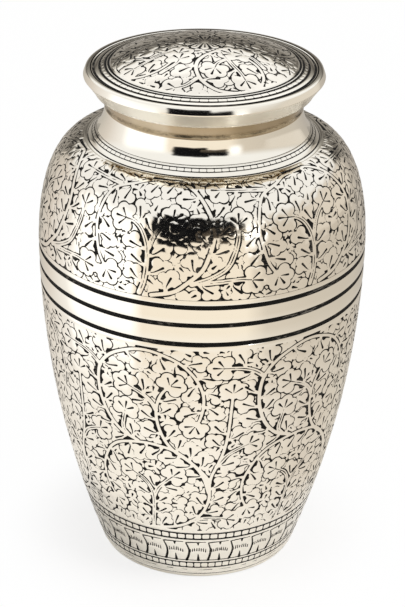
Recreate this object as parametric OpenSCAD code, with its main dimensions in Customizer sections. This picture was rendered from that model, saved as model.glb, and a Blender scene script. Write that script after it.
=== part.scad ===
// Cremation urn: a hollow turned brass vessel with a lift-off domed lid.
// Millimetres, +Z up, origin at the middle of the underside.

/* [Vessel body] */
// Largest outside diameter of the belly
body_d = 152.4; // [125:0.1:185]
// Outside diameter of the underside
base_d = 94.2; // [75:0.1:115]
// Height from the underside to the widest part of the belly
lower_h = 159.8; // [130:0.1:195]
// Height from the widest part of the belly to the foot of the neck ring
upper_h = 49.8; // [40:0.1:62]
// Thickness of the vessel's wall
wall = 2; // [1.5:0.1:3]
// Thickness of the flat bottom inside its foot rim
floor_t = 2.2; // [1.5:0.1:4]
// Width of the foot rim that the urn stands on
foot_rim_w = 5; // [3:0.5:8]
// Depth of the recess inside the foot rim
foot_recess = 1.2; // [0.5:0.1:2]

/* [Vessel curve] */
// Lean of the side outwards from upright, where it leaves the underside, in degrees
base_lean = 20.2; // [10:0.1:26]
// Fullness of the side just above the underside, as a share of the lower height
base_fullness = 0.284; // [0.2:0.001:0.36]
// Fullness of the side just below the widest part, as a share of the lower height
belly_fullness = 0.395; // [0.3:0.001:0.5]
// Fullness of the side just above the widest part, as a share of the upper height
shoulder_fullness = 0.502; // [0.35:0.001:0.6]
// Fullness of the shoulder's flat top, as a share of its reach from neck ring to belly
shoulder_flat = 0.704; // [0.4:0.001:0.8]

/* [Belly band] */
// Number of turned grooves in the band round the belly
band_grooves = 3; // [1:1:4]
// Drop from the widest part of the belly to the first groove
band_drop = 1.6; // [0:0.1:6]
// Distance from one groove to the next, which is the height of a polished ring
band_pitch = 9.1; // [6:0.1:12]
// Width of a belly groove
band_groove_w = 1.7; // [1:0.1:2.4]

/* [Neck] */
// Outside diameter of the upright neck
neck_d = 90.4; // [75:0.1:110]
// Height of the neck above its cove, up to the rim that carries the lid
neck_rise = 15.3; // [12.5:0.1:19]
// Height of the hollow cove between the neck and the neck ring
cove_h = 10.1; // [8:0.1:12.5]
// How far the cove flares out from the neck
cove_flare = 3.5; // [2.5:0.1:4.5]
// Height of the sloping neck ring
ring_h = 4.4; // [3.5:0.1:5.5]
// Width of the sloping neck ring across its slope, measured level
ring_w = 4.7; // [3.5:0.1:6]

/* [Lid] */
// Thickness of the lid's top and skirt
lid_wall = 2; // [1.5:0.1:2.4]
// Thickness of the lid where it rests on the neck's rim
lid_seat_t = 2.8; // [2:0.1:3.5]
// Rise of the dome above the lid's flat edge
dome_rise = 11.8; // [8:0.1:16]
// Width of the bordered ring between the dome and the plain edge
border_w = 7.6; // [6:0.1:10]
// Rise of the bordered ring from the plain edge to the dome
border_rise = 1.8; // [1:0.1:3]
// Width of the plain flat edge outside the bordered ring
edge_w = 4.2; // [3:0.1:6]
// Thickness of the lid's projecting rim
rim_t = 3.5; // [2.6:0.1:4.5]
// Drop of the sloping underside from the rim's bottom edge to the upright part of the skirt
rim_under_drop = 6.2; // [0.5:0.1:7]
// How far the rim projects past the skirt
rim_overhang = 4.8; // [3:0.1:7]
// Length of the skirt below the seat on the neck's rim
skirt_drop = 7.9; // [6.5:0.1:11]
// Gap between the skirt's inside and the neck
skirt_gap = 2.7; // [1:0.1:4]
// Length of the locating collar inside the neck, below the seat
collar_drop = 12; // [8:0.1:15]
// Thickness of the locating collar
collar_t = 2; // [1.5:0.1:3]
// Running clearance between the collar and the neck's bore, on the radius
collar_clearance = 0.35; // [0.2:0.05:0.8]
// Radius of the rounding on the rim and on the skirt's lip
edge_round = 0.8; // [0.3:0.1:0.9]

/* [Turned lines] */
// Width of a turned line on the neck ring and the lid
line_w = 0.8; // [0.5:0.1:1.1]
// Height of the base border's top line above the underside
base_border_h = 24.6; // [18:0.1:32]
// Height of the base border's bottom line above the underside
base_plain_h = 4.5; // [3:0.5:8]

/* [Hidden] */
$fn = 96;

curve_steps = 24;
round_steps = 4;
line_facets = 16;

body_r = body_d / 2;
base_r = base_d / 2;
neck_r = neck_d / 2;
bore_r = neck_r - wall;
ring_top_r = neck_r + cove_flare;
shoulder_r = ring_top_r + ring_w;

shoulder_z = lower_h + upper_h;
ring_top_z = shoulder_z + ring_h;
cove_top_z = ring_top_z + cove_h;
seat_z = cove_top_z + neck_rise;

skirt_r = neck_r + skirt_gap + lid_wall;
rim_r = skirt_r + rim_overhang;
collar_r = bore_r - collar_clearance;
collar_bore_r = collar_r - collar_t;
edge_z = seat_z + lid_seat_t;
border_r = rim_r - edge_w;
dome_r = border_r - border_w;
dome_z = edge_z + border_rise;
apex_z = edge_z + dome_rise;
dome_h = apex_z - dome_z;

// The side of the body is two cubic curves that meet upright at the widest part.
lower_curve = [
    [base_r, 0],
    [base_r + lower_h * base_fullness * sin(base_lean), lower_h * base_fullness * cos(base_lean)],
    [body_r, lower_h * (1 - belly_fullness)],
    [body_r, lower_h]
];
upper_curve = [
    [body_r, lower_h],
    [body_r, lower_h + upper_h * shoulder_fullness],
    [shoulder_r + (body_r - shoulder_r) * shoulder_flat, shoulder_z],
    [shoulder_r, shoulder_z]
];

// Point on a cubic curve with control points p, for t from 0 to 1
function curve(p, t) =
    pow(1 - t, 3) * p[0] + 3 * pow(1 - t, 2) * t * p[1] + 3 * (1 - t) * t * t * p[2] + pow(t, 3) * p[3];

// Direction of travel along a cubic curve
function heading(p, t) =
    pow(1 - t, 2) * (p[1] - p[0]) + 2 * (1 - t) * t * (p[2] - p[1]) + t * t * (p[3] - p[2]);

// Point a distance d inside a curve that climbs with its outer side away from the axis
function inside(p, t, d) =
    let (v = heading(p, t)) curve(p, t) + d * [-v[1], v[0]] / norm(v);

// Curve parameter at height z, by halving the interval
function t_at(p, z, low = 0, high = 1, tries = 30) =
    let (mid = (low + high) / 2)
    tries == 0 ? mid
        : curve(p, mid)[1] < z ? t_at(p, z, mid, high, tries - 1)
        : t_at(p, z, low, mid, tries - 1);

// Radius of the lower body at height z
function side_r(z) = curve(lower_curve, t_at(lower_curve, z))[0];

// Points of a circular arc from angle a to angle b
function arc(centre, r, a, b, steps) =
    [for (i = [0 : steps]) let (t = a + (b - a) * i / steps) centre + r * [cos(t), sin(t)]];

// The cove is an arc that starts upright at the neck and swings out to the neck ring.
cove_r = (cove_flare * cove_flare + cove_h * cove_h) / (2 * cove_flare);
cove_sweep = asin(cove_h / cove_r);
cove_centre = [neck_r + cove_r, cove_top_z];

// The dome is a spherical cap.
dome_ball_r = (dome_r * dome_r + dome_h * dome_h) / (2 * dome_h);
dome_half = asin(dome_r / dome_ball_r);
dome_centre = [0, apex_z - dome_ball_r];
under_dome_r = dome_ball_r - lid_wall;

// Height of the inner floor at the foot of the inner side
inner_floor_z = foot_recess + floor_t;

// A turned line: a round-bottomed groove centred on the surface at radius r and height z
module turned_line(r, z, w) {
    rotate_extrude() translate([r, z]) circle(d = w, $fn = line_facets);
}

// Half section of the vessel: outside from the foot up to the neck's rim, then down inside
module vessel_section() {
    start = t_at(lower_curve, inner_floor_z);
    outer = concat(
        [for (i = [0 : curve_steps]) curve(lower_curve, i / curve_steps)],
        [for (i = [1 : curve_steps]) curve(upper_curve, i / curve_steps)],
        arc(cove_centre, cove_r, 180 + cove_sweep, 180, round_steps * 2)
    );
    inner = concat(
        arc(cove_centre, cove_r + wall, 180, 180 + cove_sweep, round_steps * 2),
        [for (i = [curve_steps : -1 : 1]) inside(upper_curve, i / curve_steps, wall)],
        [for (i = [curve_steps : -1 : 0]) inside(lower_curve, start + (1 - start) * i / curve_steps, wall)]
    );
    last = inner[len(inner) - 1];
    polygon(concat(
        [[0, foot_recess], [base_r - foot_rim_w, foot_recess], [base_r - foot_rim_w, 0]],
        outer,
        [[neck_r, seat_z], [bore_r, seat_z]],
        inner,
        [[last[0], inner_floor_z], [0, inner_floor_z]]
    ));
}

module vessel() {
    color([0.86, 0.82, 0.75])
    difference() {
        rotate_extrude() vessel_section();
        for (i = [0 : band_grooves - 1])
            let (z = lower_h - band_drop - i * band_pitch)
            turned_line(side_r(z), z, band_groove_w);
        for (z = [base_plain_h, base_border_h])
            turned_line(side_r(z), z, line_w);
        turned_line(ring_top_r, ring_top_z, line_w);
        turned_line(shoulder_r, shoulder_z, line_w);
    }
}

// Half section of the lid: over the dome to the rim, down the skirt, then back inside
module lid_section() {
    rim_bottom_z = edge_z - rim_t;
    skirt_bottom_z = seat_z - skirt_drop;
    slope_end_z = max(rim_bottom_z - rim_under_drop, skirt_bottom_z + edge_round);
    polygon(concat(
        arc(dome_centre, dome_ball_r, 90, 90 - dome_half, curve_steps),
        [[border_r, edge_z]],
        arc([rim_r - edge_round, edge_z - edge_round], edge_round, 90, 0, round_steps),
        arc([rim_r - edge_round, rim_bottom_z + edge_round], edge_round, 0, -90, round_steps),
        [[skirt_r, slope_end_z]],
        arc([skirt_r - edge_round, skirt_bottom_z + edge_round], edge_round, 0, -90, round_steps),
        [
            [skirt_r - lid_wall, skirt_bottom_z],
            [skirt_r - lid_wall, seat_z],
            [collar_r, seat_z],
            [collar_r, seat_z - collar_drop],
            [collar_bore_r, seat_z - collar_drop]
        ],
        arc(dome_centre, under_dome_r, acos(collar_bore_r / under_dome_r), 90, curve_steps)
    ));
}

module lid() {
    color([0.88, 0.85, 0.78])
    difference() {
        rotate_extrude() lid_section();
        turned_line(dome_r, dome_z, line_w);
        turned_line(border_r, edge_z, line_w);
    }
}

vessel();
lid();
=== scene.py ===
import math

import bpy
import numpy as np
from mathutils import Matrix, Vector
from mathutils.geometry import delaunay_2d_cdt


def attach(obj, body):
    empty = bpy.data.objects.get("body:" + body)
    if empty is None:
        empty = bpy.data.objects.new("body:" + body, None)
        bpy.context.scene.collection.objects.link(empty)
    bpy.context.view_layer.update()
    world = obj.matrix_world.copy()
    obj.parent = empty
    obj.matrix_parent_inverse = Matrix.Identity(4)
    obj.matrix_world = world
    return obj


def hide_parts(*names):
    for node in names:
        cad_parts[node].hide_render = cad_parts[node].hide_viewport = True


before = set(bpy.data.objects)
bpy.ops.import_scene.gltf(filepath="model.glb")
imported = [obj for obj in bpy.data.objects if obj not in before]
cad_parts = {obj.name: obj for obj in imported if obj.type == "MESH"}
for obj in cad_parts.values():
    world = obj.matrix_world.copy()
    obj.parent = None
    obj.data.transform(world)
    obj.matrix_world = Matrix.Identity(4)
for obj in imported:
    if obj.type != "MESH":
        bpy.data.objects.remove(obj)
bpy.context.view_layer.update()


# ---------------------------------------------------------------------------
# Foot and base border: the lowest part of the spun brass body, flat underneath
# inside a narrow foot rim. Its tiles and beads are cut with gravers, filled
# with black, and the nickel plate over the rest is polished. Sizes are in mm.

belly_r = 76.2
foot_r = 47.1
widest_z = 159.8
shoulder_z = 209.6
shoulder_r = 53.4
base_lean = math.radians(20.2)
base_fullness, belly_fullness = 0.284, 0.395
shoulder_fullness, shoulder_flat = 0.502, 0.704
wall = 2.0
floor_z = 3.4
inner_floor_r = 46.4
foot_rim_w = 5.0
foot_recess = 1.2
foot_edge = 0.3


def bezier(points, t):
    """Cubic curve (1-t)^3 a + 3(1-t)^2 t b + 3(1-t) t^2 c + t^3 d for control points a, b, c, d."""
    a, b, c, d = np.asarray(points, float)
    t = np.asarray(t, float)[:, None]
    return (1 - t) ** 3 * a + 3 * (1 - t) ** 2 * t * b + 3 * (1 - t) * t**2 * c + t**3 * d


class Side:
    """A profile as a table: radius and height at each distance s along it, with the normal on its right hand
    turned outwards. Points between the table's rows are interpolated."""

    def __init__(self, points):
        self.p = np.asarray(points, float)
        self.s = np.concatenate([[0.0], np.cumsum(np.hypot(*np.diff(self.p, axis=0).T))])
        lead = np.gradient(self.p, self.s, axis=0)
        lead /= np.linalg.norm(lead, axis=1)[:, None]
        self.n = np.stack([lead[:, 1], -lead[:, 0]], 1)

    def at(self, s, sink=0.0):
        """Radius and height at s, moved a distance sink into the metal along the normal."""
        rz = np.stack([np.interp(s, self.s, self.p[:, k]) for k in (0, 1)], -1)
        n = np.stack([np.interp(s, self.s, self.n[:, k]) for k in (0, 1)], -1)
        return rz - n * np.asarray(sink)[..., None]


base_pull = base_fullness * widest_z
lower_curve = [
    (foot_r, 0),
    (foot_r + base_pull * math.sin(base_lean), base_pull * math.cos(base_lean)),
    (belly_r, (1 - belly_fullness) * widest_z),
    (belly_r, widest_z),
]
upper_curve = [
    (belly_r, widest_z),
    (belly_r, widest_z + shoulder_fullness * (shoulder_z - widest_z)),
    (shoulder_r + shoulder_flat * (belly_r - shoulder_r), shoulder_z),
    (shoulder_r, shoulder_z),
]
lower_points = bezier(lower_curve, np.linspace(0, 1, 600))
upper_points = bezier(upper_curve, np.linspace(0, 1, 300))
body = Side(np.concatenate([lower_points, upper_points[1:]]))


def turn(rz, angle):
    """Points at radius and height rz, turned by angle about the axis: x = r sin(angle), y = -r cos(angle).
    Angle 0 faces -Y and 90 degrees is +X."""
    flat = rz[..., 0] * np.sin(angle), -rz[..., 0] * np.cos(angle), rz[..., 1] + 0 * angle
    return np.stack(flat, -1)


def signed_reach(x, s, strokes, period):
    """Distance from each point to the nearest stroke, less the stroke's half width there.
    A stroke is a straight taper (x0, s0, x1, s1, half width at 0, half width at 1); x wraps after period."""
    best = np.full(x.shape, 1e3)
    for x0, s0, x1, s1, w0, w1 in strokes:
        dx, ds = x1 - x0, s1 - s0
        px = (x - x0 + period / 2) % period - period / 2
        ps = s - s0
        t = np.clip((px * dx + ps * ds) / (dx * dx + ds * ds + 1e-9), 0, 1)
        np.minimum(best, np.sqrt((px - t * dx) ** 2 + (ps - t * ds) ** 2) - (w0 + (w1 - w0) * t), out=best)
    return best


# The land distance given to the rim of a drawing, which is plain metal.
rim_depth = 3.0
# The least share of a grid edge that a groove's edge keeps from the grid points.
least_share = 0.12


def cut_lines(d, x, s):
    """Edges of the grooves on a grid of land distances d, as in marching squares: a point on each grid
    edge where d changes sign, at the share d0 / (d0 - d1) along it, and the pairs of points that each cell
    joins."""
    land = d > 0
    across, along = land[:-1] != land[1:], land[:, :-1] != land[:, 1:]
    tx = np.clip(d[:-1] / (d[:-1] - d[1:] + 1e-12), least_share, 1 - least_share)[across]
    ts = np.clip(d[:, :-1] / (d[:, :-1] - d[:, 1:] + 1e-12), least_share, 1 - least_share)[along]
    (ex, es), (fx, fs) = np.nonzero(across), np.nonzero(along)
    on_x = np.stack([x[ex] + tx * (x[1] - x[0]), s[es]], 1)
    on_s = np.stack([x[fx], s[fs] + ts * (s[1] - s[0])], 1)
    id_x, id_s = np.full(across.shape, -1), np.full(along.shape, -1)
    id_x[across] = np.arange(len(ex))
    id_s[along] = len(ex) + np.arange(len(fx))
    bottom, top, left, right = id_x[:, :-1], id_x[:, 1:], id_s[:-1], id_s[1:]
    around = np.stack([bottom, right, top, left], -1)
    count = (around >= 0).sum(-1)
    same = ((d[:-1, :-1] + d[1:, :-1] + d[:-1, 1:] + d[1:, 1:]) > 0) == land[:-1, :-1]
    joined, parted = (count == 4) & same, (count == 4) & ~same
    pairs = [
        np.sort(around[count == 2], axis=1)[:, 2:],
        np.stack([bottom, right], -1)[joined],
        np.stack([top, left], -1)[joined],
        np.stack([bottom, left], -1)[parted],
        np.stack([top, right], -1)[parted],
    ]
    return np.concatenate([on_x, on_s]), np.concatenate(pairs)


def triangulated(d, x, s, keep, rim, rim_pairs):
    """The drawing cut into triangles along its groove edges. The kept grid points, the edge points and the
    rim points go into one constrained triangulation. A triangle is groove where it has a corner in a groove.
    Where all its corners lie on edges it is groove if d, blended between grid points, is negative at its
    middle."""
    edge_points, pairs = cut_lines(d, x, s)
    ii, jj = np.nonzero(keep)
    nodes = np.stack([x[ii], s[jj]], 1)
    points = np.concatenate([edge_points, nodes, rim])
    depth = np.concatenate([np.zeros(len(edge_points)), d[keep], np.full(len(rim), rim_depth)])
    pairs = np.concatenate([pairs, rim_pairs + len(edge_points) + len(nodes)])
    joins = [tuple(p) for p in pairs.tolist()]
    out = delaunay_2d_cdt([Vector(p) for p in points.tolist()], joins, [], 0, 1e-5, True)
    flat = np.array([tuple(v) for v in out[0]])
    tris = np.array(out[2])
    dist = depth[np.array([ids[0] if ids else 0 for ids in out[3]])]
    a, b, c = (flat[tris[:, k]] for k in range(3))
    area = (b[:, 0] - a[:, 0]) * (c[:, 1] - a[:, 1]) - (b[:, 1] - a[:, 1]) * (c[:, 0] - a[:, 0])
    tris = np.where((area < 0)[:, None], tris[:, ::-1], tris)[np.abs(area) > 1e-7]
    mid = flat[tris].mean(1)
    u = np.clip((mid[:, 0] - x[0]) / (x[1] - x[0]), 0, len(x) - 1 - 1e-6)
    v = np.clip((mid[:, 1] - s[0]) / (s[1] - s[0]), 0, len(s) - 1 - 1e-6)
    i, j = u.astype(int), v.astype(int)
    u, v = u - i, v - j
    low = d[i, j] * (1 - u) + d[i + 1, j] * u
    high = d[i, j + 1] * (1 - u) + d[i + 1, j + 1] * u
    at_mid = low * (1 - v) + high * v
    lowest, highest = dist[tris].min(1), dist[tris].max(1)
    groove = (lowest < 0) | ((highest <= 0) & (at_mid < 0))
    return {"flat": flat, "dist": dist, "tris": tris, "groove": groove}


def settled(d, cell):
    """The field with no value nearer to zero than a twentieth of a cell, so that no groove's edge runs
    through a grid point."""
    return np.where(np.abs(d) < 0.05 * cell, np.where(d < 0, -0.05, 0.05) * cell, d)


def kept_points(d, cell, stride):
    """Which grid points the triangles use: all well inside a groove, and on the land one in stride each
    way."""
    i, j = np.indices(d.shape)
    return (d < -0.3 * cell) | ((i % stride == 0) & (j % stride == 0) & (d > 0.6 * cell))


def ring_sheet(field, width, low, high, cell, columns):
    """One repeat of a drawing that goes round the urn, width by (high - low), as triangles. field(x, s) is
    about the distance to the nearest groove edge, positive on the land. Its first and last column match."""
    stride = max(1, round(width / cell / columns))
    x = np.linspace(0, width, columns * stride + 1)
    s = np.linspace(low, high, max(4, round((high - low) / cell)) + 1)
    gx, gs = np.meshgrid(x, s, indexing="ij")
    d = settled(field(gx, gs), cell)
    d[-1] = d[0]
    d[:, [0, 1, -2, -1]] = np.maximum(cell, d[:, [0, 1, -2, -1]])
    keep = kept_points(d, cell, stride)
    keep[:, [0, -1]] = (np.arange(len(x)) % stride == 0)[:, None]
    d[:, [0, -1]] = rim_depth
    sheet = triangulated(d, x, s, keep, np.zeros((0, 2)), np.zeros((0, 2), int))
    sheet.update(width=width, low=low, high=high, columns=columns)
    return sheet


# How the metal was worked: the edge of a groove is rounded over, and its floor is cut to a shallow V.
edge_sink = 0.16
edge_round = 0.8
groove_slope = 0.9
groove_most = 0.34


def sink_of(dist):
    """Depth below the true surface: on land, edge_sink * exp(-dist / edge_round); in a groove, edge_sink
    plus groove_slope times the distance from its edge, up to groove_most more."""
    land = edge_sink * np.exp(-np.maximum(dist, 0) / edge_round)
    groove = edge_sink + np.minimum(groove_most, groove_slope * np.maximum(-dist, 0))
    return np.where(dist > 0, land, groove)


# Materials by number. A facet with a sharp edge to its neighbour of the same metal adds a multiple of 4.
PLATE, FILL, BRASS = 0, 1, 2


def ring_corners(sheet, repeats, full):
    """Numbers the corners of repeats of a sheet side by side, with each repeat's last column taken from the
    next one's first. Returns the flat places, the sheet's corner that each comes from, each repeat's number
    for each corner of the sheet, and the corners of the sheet's first and last column."""
    flat, width = sheet["flat"], sheet["width"]
    first = np.nonzero(flat[:, 0] < 1e-3)[0]
    last = np.nonzero(flat[:, 0] > width - 1e-3)[0]
    first, last = first[np.argsort(flat[first, 1])], last[np.argsort(flat[last, 1])]
    own = np.ones(len(flat), bool)
    own[last] = False
    number = np.zeros((repeats, len(flat)), int)
    places, sources, used = [], [], 0
    for k in range(repeats):
        number[k, own] = used + np.arange(own.sum())
        used += own.sum()
        places.append(flat[own] + [k * width, 0])
        sources.append(np.nonzero(own)[0])
    if full:
        number[-1, last] = number[0, first]
    else:
        number[-1, last] = used + np.arange(len(last))
        places.append(flat[last] + [(repeats - 1) * width, 0])
        sources.append(last)
    for k in range(repeats - 1):
        number[k, last] = number[k + 1, first]
    return np.concatenate(places), np.concatenate(sources), number, first, last


def mesh_piece(name, corners, faces, groups, charts, materials):
    """A mesh object in metres from corners in mm, faces as lists of corner numbers, a group for each face
    and the flat place of each face corner. A face's material is its group modulo 4, and edges between groups
    are sharp."""
    mesh = bpy.data.meshes.new(name)
    mesh.from_pydata((corners / 1000).tolist(), [], faces)
    mesh.polygons.foreach_set("material_index", (groups % 4).astype(np.int32))
    mesh.polygons.foreach_set("use_smooth", np.ones(len(faces), bool))
    sizes = np.array([len(face) for face in faces])
    loop_edge = np.empty(len(mesh.loops), np.int32)
    mesh.loops.foreach_get("edge_index", loop_edge)
    loop_group = np.repeat(groups, sizes)
    least, most = np.full(len(mesh.edges), 999), np.full(len(mesh.edges), -1)
    np.minimum.at(least, loop_edge, loop_group)
    np.maximum.at(most, loop_edge, loop_group)
    mesh.attributes.new("sharp_edge", "BOOLEAN", "EDGE").data.foreach_set("value", least != most)
    layer = mesh.uv_layers.new(name="OFBake")
    layer.data.foreach_set("uv", np.asarray(charts, np.float32).ravel())
    for material in materials:
        mesh.materials.append(material)
    mesh.validate()
    mesh.update()
    piece = bpy.data.objects.new(name, mesh)
    bpy.context.scene.collection.objects.link(piece)
    return piece


# Each piece's unrolled surface is laid out in bands: land, grooves and the plain back and inside.
land_band, groove_band, back_band = (0.01, 0.46), (0.48, 0.80), (0.82, 0.99)


def in_band(band, v):
    """A share v from 0 to 1 as a height in a band."""
    return band[0] + (band[1] - band[0]) * np.clip(v, 0, 1)


def turned_rows(tail, angles, used):
    """Corners of the tail, a profile of radii and heights, turned to all angles, and each point's row of
    corner numbers, counted from used. A point on the axis is one corner."""
    corners, rows = [], []
    for r, z in tail:
        if r < 1e-6:
            corners.append(np.array([[0.0, 0.0, z]]))
            rows.append(np.full(len(angles), used))
        else:
            corners.append(turn(np.broadcast_to([r, z], (len(angles), 2)), angles))
            rows.append(used + np.arange(len(angles)))
        used += len(corners[-1])
    return corners, rows


def row_faces(rows, shares, row_groups, turns):
    """Faces, groups and flat places of the triangles between each row of corners and the next, in turns steps
    round the urn. Their places are in the back band, at each row's share of its height. What shrinks to a
    line on the axis is left out."""
    faces, groups, charts = [], [], []
    here = np.arange(turns)
    after = (here + 1) % len(rows[0])
    quad_u = np.stack([here, here + 1, here + 1, here], 1) / turns
    for k, (upper, lower) in enumerate(zip(rows, rows[1:])):
        quad = np.stack([upper[here], upper[after], lower[after], lower[here]], 1)
        quad_v = np.broadcast_to(in_band(back_band, shares[[k, k, k + 1, k + 1]]), (turns, 4))
        for pick in ((0, 1, 2), (0, 2, 3)):
            tri = quad[:, pick]
            whole = (tri[:, 0] != tri[:, 1]) & (tri[:, 1] != tri[:, 2]) & (tri[:, 0] != tri[:, 2])
            faces += tri[whole][:, ::-1].tolist()
            groups.append(np.full(whole.sum(), row_groups[k]))
            uv = np.stack([quad_u[:, pick], quad_v[:, pick]], -1)[whole][:, ::-1]
            charts.append(uv.reshape(-1, 2))
    return faces, groups, charts


def relief_ring(name, sheet, place, tail, tail_groups, materials, repeats, start=0, total=None):
    """A closed ring, or part of one, from repeats of a relief sheet and a plain tail. place(x, s, sink) puts
    a point of the drawing on the urn. The tail is the profile from the sheet's top edge round the back to
    its bottom edge, turned at the sheet's columns. Part of a ring is closed by a flat cap at both ends."""
    total = total or repeats
    full = repeats == total
    flat, source, number, first, last = ring_corners(sheet, repeats, full)
    width, columns = sheet["width"], sheet["columns"]
    outer = place(flat[:, 0] + start * width, flat[:, 1], sink_of(sheet["dist"][source]))
    lifted = sheet["flat"][sheet["tris"]]
    chart_u = np.concatenate([(lifted[..., 0] + k * width) / (repeats * width) for k in range(repeats)])
    share = (lifted[..., 1] - sheet["low"]) / (sheet["high"] - sheet["low"])
    bands = np.where(sheet["groove"][:, None], in_band(groove_band, share), in_band(land_band, share))
    faces = number[:, sheet["tris"]].reshape(-1, 3).tolist()
    groups = [np.tile(np.where(sheet["groove"], FILL, PLATE), repeats)]
    charts = [np.stack([chart_u, np.tile(bands, (repeats, 1))], -1).reshape(-1, 2)]

    turns = columns * repeats
    step = width / columns
    angles = (start * width + step * np.arange(turns + (not full))) * 2 * math.pi / (total * width)
    rims = []
    for edge in (sheet["high"], sheet["low"]):
        row = np.nonzero(np.abs(flat[:, 1] - edge) < 1e-3)[0]
        rims.append(row[np.argsort(flat[row, 0])])
    tail = np.asarray(tail, float)
    back_corners, back_rows = turned_rows(tail, angles, len(outer))
    steps = np.concatenate([[2.0], np.hypot(*np.diff(tail, axis=0).T) + 0.2, [2.0]])
    shares = np.concatenate([[0], np.cumsum(steps) / steps.sum()])
    back = row_faces([rims[0], *back_rows, rims[1]], shares, tail_groups, turns)
    faces += back[0]
    groups += back[1]
    charts += back[2]
    if not full:
        for end, seam in ((0, number[0, first]), (-1, number[-1, last])):
            behind = np.array([row[end] for row in back_rows])
            cap = np.concatenate([seam, behind])
            share = np.concatenate([np.linspace(0, 0.96, len(seam)), np.linspace(0.99, 0.02, len(behind))])
            lift = np.concatenate([np.zeros(len(seam)), np.full(len(behind), 0.01)])
            uv = np.stack([share, 0.992 + lift * 0.6], 1)
            faces.append((cap[::-1] if end == 0 else cap).tolist())
            groups.append(np.array([BRASS + 16]))
            charts.append(uv[::-1] if end == 0 else uv)
    corners = np.concatenate([outer, *back_corners])
    return mesh_piece(name, corners, faces, np.concatenate(groups), np.concatenate(charts), materials)


def group_tree(name, sockets_in, sockets_out):
    """A new shader node group with the named inputs (type, default) and outputs (type)."""
    tree = bpy.data.node_groups.new(name, "ShaderNodeTree")
    for socket, (kind, value) in sockets_in.items():
        tree.interface.new_socket(socket, in_out="INPUT", socket_type=kind).default_value = value
    for socket, kind in sockets_out.items():
        tree.interface.new_socket(socket, in_out="OUTPUT", socket_type=kind)
    return tree, tree.nodes.new("NodeGroupInput"), tree.nodes.new("NodeGroupOutput")


def node(tree, kind, **settings):
    """A node of that kind with its settings; a setting named in_N is the default of input number N."""
    made = tree.nodes.new(kind)
    for key, value in settings.items():
        if key.startswith("in_"):
            made.inputs[int(key[3:])].default_value = value
        else:
            setattr(made, key, value)
    return made


def polish_group():
    """Hand polish: broad cloudy patches and fine rubbing streaks. Cloudy runs 0 to 1 over Patch Size, Rubbed
    runs 0 to 1 over Streak Size, and Roughness = Smooth + (Hazy - Smooth) * the mean of both."""
    tree, given, result = group_tree(
        "HandPolish",
        {
            "Patch Size": ("NodeSocketFloat", 0.03),
            "Streak Size": ("NodeSocketFloat", 0.0012),
            "Smooth": ("NodeSocketFloat", 0.12),
            "Hazy": ("NodeSocketFloat", 0.2),
        },
        {"Cloudy": "NodeSocketFloat", "Rubbed": "NodeSocketFloat", "Roughness": "NodeSocketFloat"},
    )
    link = tree.links.new
    place = node(tree, "ShaderNodeTexCoord")
    per_patch = node(tree, "ShaderNodeMath", operation="DIVIDE", in_0=1.0)
    per_streak = node(tree, "ShaderNodeMath", operation="DIVIDE", in_0=1.0)
    link(given.outputs["Patch Size"], per_patch.inputs[1])
    link(given.outputs["Streak Size"], per_streak.inputs[1])
    cloud = node(tree, "ShaderNodeTexNoise", in_3=3.0)
    streak_place = node(tree, "ShaderNodeMapping", vector_type="POINT")
    streak_place.inputs["Scale"].default_value = (1.0, 1.0, 6.0)
    streak = node(tree, "ShaderNodeTexNoise", in_3=2.0)
    link(place.outputs["Object"], cloud.inputs["Vector"])
    link(per_patch.outputs[0], cloud.inputs["Scale"])
    link(place.outputs["Object"], streak_place.inputs["Vector"])
    link(streak_place.outputs[0], streak.inputs["Vector"])
    link(per_streak.outputs[0], streak.inputs["Scale"])
    cloudy = node(tree, "ShaderNodeMapRange", in_1=0.35, in_2=0.65)
    rubbed = node(tree, "ShaderNodeMapRange", in_1=0.3, in_2=0.7)
    link(cloud.outputs[0], cloudy.inputs[0])
    link(streak.outputs[0], rubbed.inputs[0])
    mean = node(tree, "ShaderNodeMath", operation="ADD")
    half = node(tree, "ShaderNodeMath", operation="MULTIPLY", in_1=0.5)
    link(cloudy.outputs[0], mean.inputs[0])
    link(rubbed.outputs[0], mean.inputs[1])
    link(mean.outputs[0], half.inputs[0])
    rough = node(tree, "ShaderNodeMapRange")
    link(half.outputs[0], rough.inputs[0])
    link(given.outputs["Smooth"], rough.inputs[3])
    link(given.outputs["Hazy"], rough.inputs[4])
    link(cloudy.outputs[0], result.inputs["Cloudy"])
    link(rubbed.outputs[0], result.inputs["Rubbed"])
    link(rough.outputs[0], result.inputs["Roughness"])
    return tree


hand_polish = polish_group()


def new_paint(name):
    """A new material, its node tree and its Principled shader."""
    material = bpy.data.materials.new(name)
    material.use_nodes = True
    tree = material.node_tree
    return material, tree, tree.nodes["Principled BSDF"]


def tint(tree, share, first, second):
    """The colour first + share * (second - first), for a share from another node."""
    mix = node(tree, "ShaderNodeMix", data_type="RGBA")
    mix.inputs[6].default_value = (*first, 1)
    mix.inputs[7].default_value = (*second, 1)
    tree.links.new(share, mix.inputs[0])
    return mix.outputs[2]


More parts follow.
